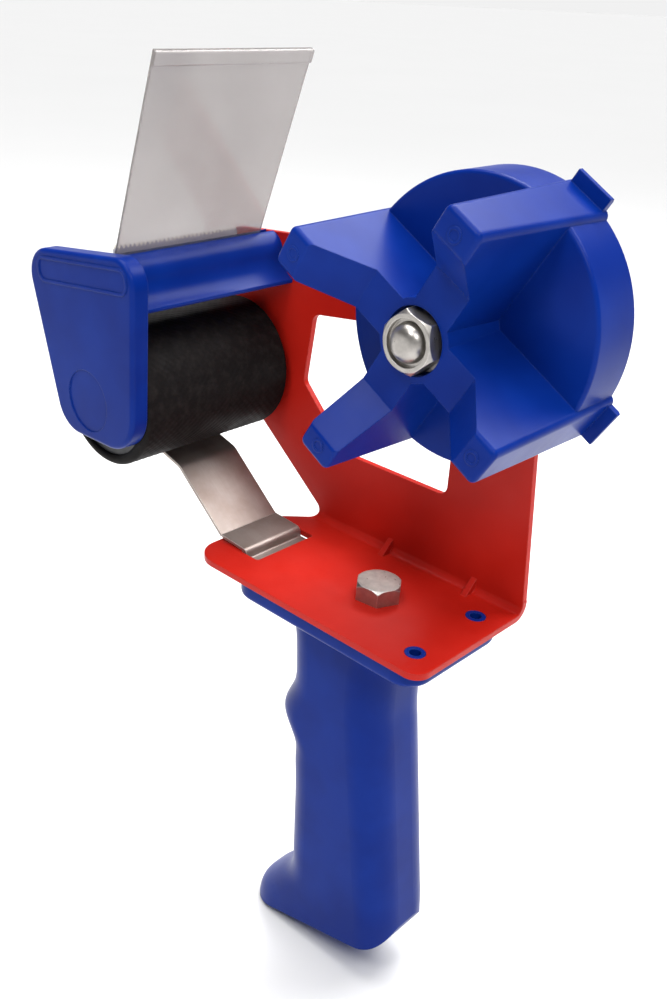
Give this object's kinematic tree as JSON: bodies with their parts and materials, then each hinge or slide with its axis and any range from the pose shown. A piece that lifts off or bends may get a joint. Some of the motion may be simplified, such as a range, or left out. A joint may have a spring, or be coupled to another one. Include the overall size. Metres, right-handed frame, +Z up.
{
  "type": "tape gun dispenser",
  "caption": "Hand-held packing tape dispenser: bent steel frame, pistol grip, braked core hub, rubber roller under a head cover, serrated blade, clear flap and sprung tape guide.",
  "frame": {"origin": "on the tape hub's axis, in the middle plane of the grip", "axes": "+Z up, -X towards the roller head, -Y towards the open side, where the tape goes on"},
  "size_m": [0.165, 0.0778, 0.2897],
  "materials": {
    "red_powder_coat": "satin powder coat",
    "blue_plastic": "semi-gloss moulded plastic",
    "dark_plastic": "matte moulded plastic",
    "black_rubber": "matte, finely ribbed",
    "zinc_plate": "bright zinc plate",
    "spring_steel": "bare rolled strip",
    "blade_steel": "ground",
    "clear_sheet": "clear grey plastic sheet"
  },
  "bodies": {
    "frame": {"side_frame": "red_powder_coat", "handle": "blue_plastic", "handle_bolt": "zinc_plate", "handle_nut": "zinc_plate", "tape_guide_foot": "spring_steel", "head_cover": "blue_plastic", "head_screws": "zinc_plate", "cutting_blade": "blade_steel", "blade_screws": "zinc_plate", "roller_axle": "zinc_plate", "roller_axle_nut": "zinc_plate", "roller_axle_washer": "zinc_plate", "roller_spacers": "dark_plastic", "hub_axle": "zinc_plate", "axle_lock_nut": "zinc_plate", "hub_rear_washer": "dark_plastic", "brake_spring": "spring_steel"},
    "hub": {"tape_hub": "blue_plastic"},
    "roller": {"roller_sleeve": "black_rubber", "roller_core": "dark_plastic"},
    "guide": {"tape_guide": "spring_steel"},
    "flap": {"flap": "clear_sheet"},
    "brake_carriage": {"brake_washer": "zinc_plate"},
    "brake_nut": {"brake_nut": "zinc_plate"}
  },
  "joints": [
    {"name": "hub_spin", "type": "hinge", "parent": "frame", "child": "hub", "pos_m": [0, 0, 0], "axis": [0, 1, 0], "continuous": true},
    {"name": "roller_spin", "type": "hinge", "parent": "frame", "child": "roller", "pos_m": [-0.0995, 0, -0.0385], "axis": [0, 1, 0], "continuous": true},
    {"name": "guide_flex", "type": "hinge", "parent": "frame", "child": "guide", "pos_m": [-0.0716, 0, -0.0839], "axis": [0, 1, 0], "range_deg": [-8, 3], "stiffness_Nm_per_rad": 2},
    {"name": "flap_flex", "type": "hinge", "parent": "frame", "child": "flap", "pos_m": [-0.0926, 0, 0.0036], "axis": [0, 1, 0], "range_deg": [-20, 20], "stiffness_Nm_per_rad": 0.3},
    {"name": "brake_travel", "type": "slide", "parent": "frame", "child": "brake_carriage", "axis": [0, 1, 0], "range_m": [-0.00151, 0.00301], "deforming": ["brake_spring"]},
    {"name": "brake_turn", "type": "hinge", "parent": "brake_carriage", "child": "brake_nut", "pos_m": [0, 0, 0], "axis": [0, 1, 0], "range_deg": [-360, 720]}
  ],
  "couplings": [
    {"joint": "brake_travel", "follows": "brake_turn", "m_per_rad": 0.00023873}
  ]
}
